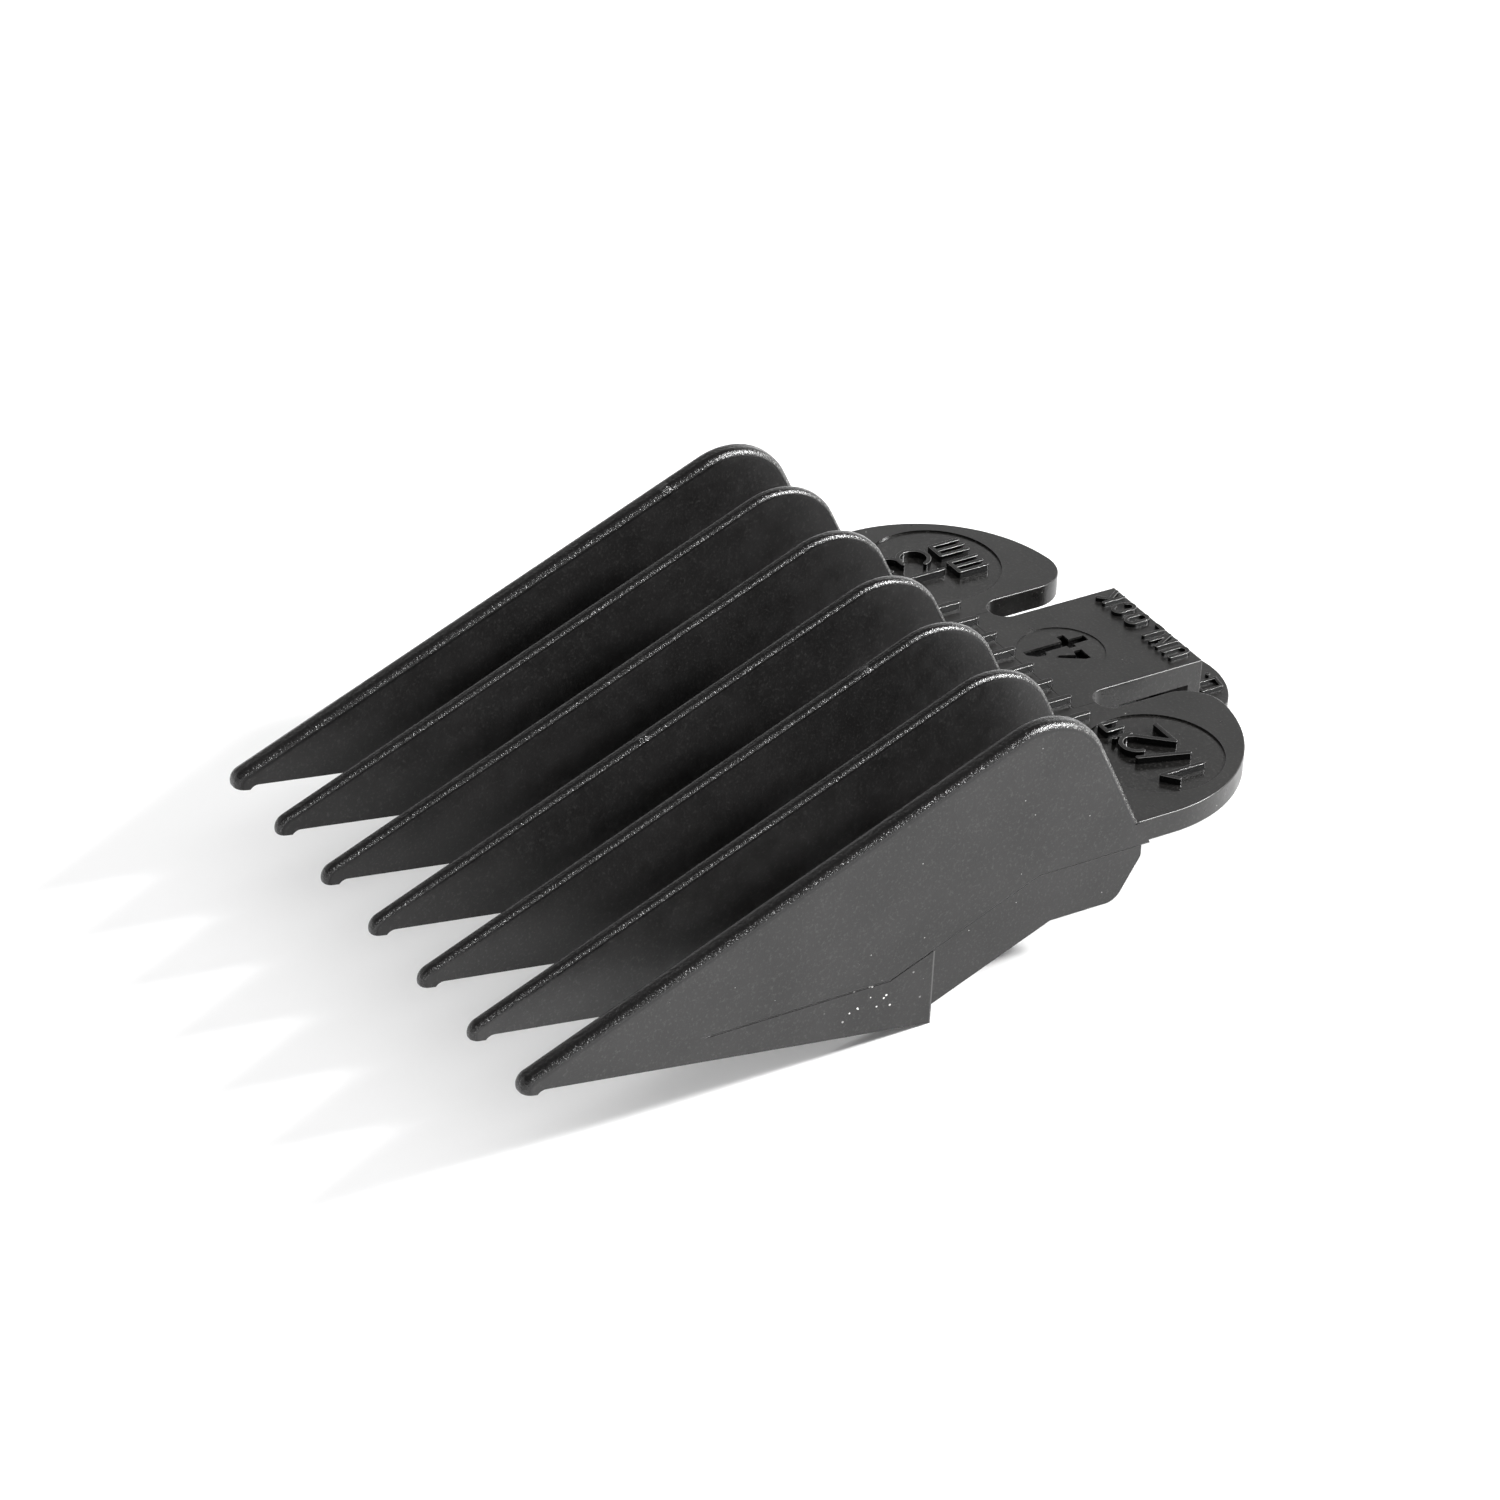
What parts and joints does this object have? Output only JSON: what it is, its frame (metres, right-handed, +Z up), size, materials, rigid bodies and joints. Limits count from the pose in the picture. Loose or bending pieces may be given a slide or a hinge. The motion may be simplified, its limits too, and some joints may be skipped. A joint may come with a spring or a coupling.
{
  "type": "clipper guard comb",
  "caption": "Black nylon hair clipper guard comb for a 13 mm (1/2 inch) cut, with sloping guide ribs, a blade seat, rounded ears with raised size marks and a springy clip-on release tab.",
  "frame": {"origin": "middle of the footprint, on the surface that the comb lies on", "axes": "+X across the comb, towards the ear marked 1/2 in; -Y towards the rib toes and +Y towards the release tab; +Z up, out of the side that faces the skin. The comb lies tipped toes-up on its step corners and thumb tongue."},
  "size_m": [0.048, 0.0774, 0.0229],
  "materials": {
    "nylon_rib": "fine spark-eroded satin",
    "nylon_seat": "smooth satin",
    "nylon_tab": "smooth satin",
    "nylon_mark": "smooth satin"
  },
  "bodies": {
    "comb": {"rib_1": "nylon_rib", "rib_2": "nylon_rib", "rib_3": "nylon_rib", "rib_4": "nylon_rib", "rib_5": "nylon_rib", "rib_6": "nylon_rib", "rib_7": "nylon_rib", "bridge_web": "nylon_seat", "seat_plate": "nylon_seat", "ear_left": "nylon_seat", "ear_right": "nylon_seat", "cheek_left": "nylon_rib", "cheek_right": "nylon_rib", "mark_13mm": "nylon_mark", "mark_half_inch": "nylon_mark", "grip_bars": "nylon_mark"},
    "tab": {"release_tab": "nylon_tab", "tab_leg": "nylon_tab", "blade_catch": "nylon_tab", "thumb_tongue": "nylon_tab", "tab_word": "nylon_mark", "tongue_frame": "nylon_mark"}
  },
  "joints": [
    {"name": "tab_flex", "type": "hinge", "parent": "comb", "child": "tab", "pos_m": [0, 0.02141, 0.00848], "axis": [1, 0, 0], "range_deg": [0, 12], "stiffness_Nm_per_rad": 1.5}
  ]
}
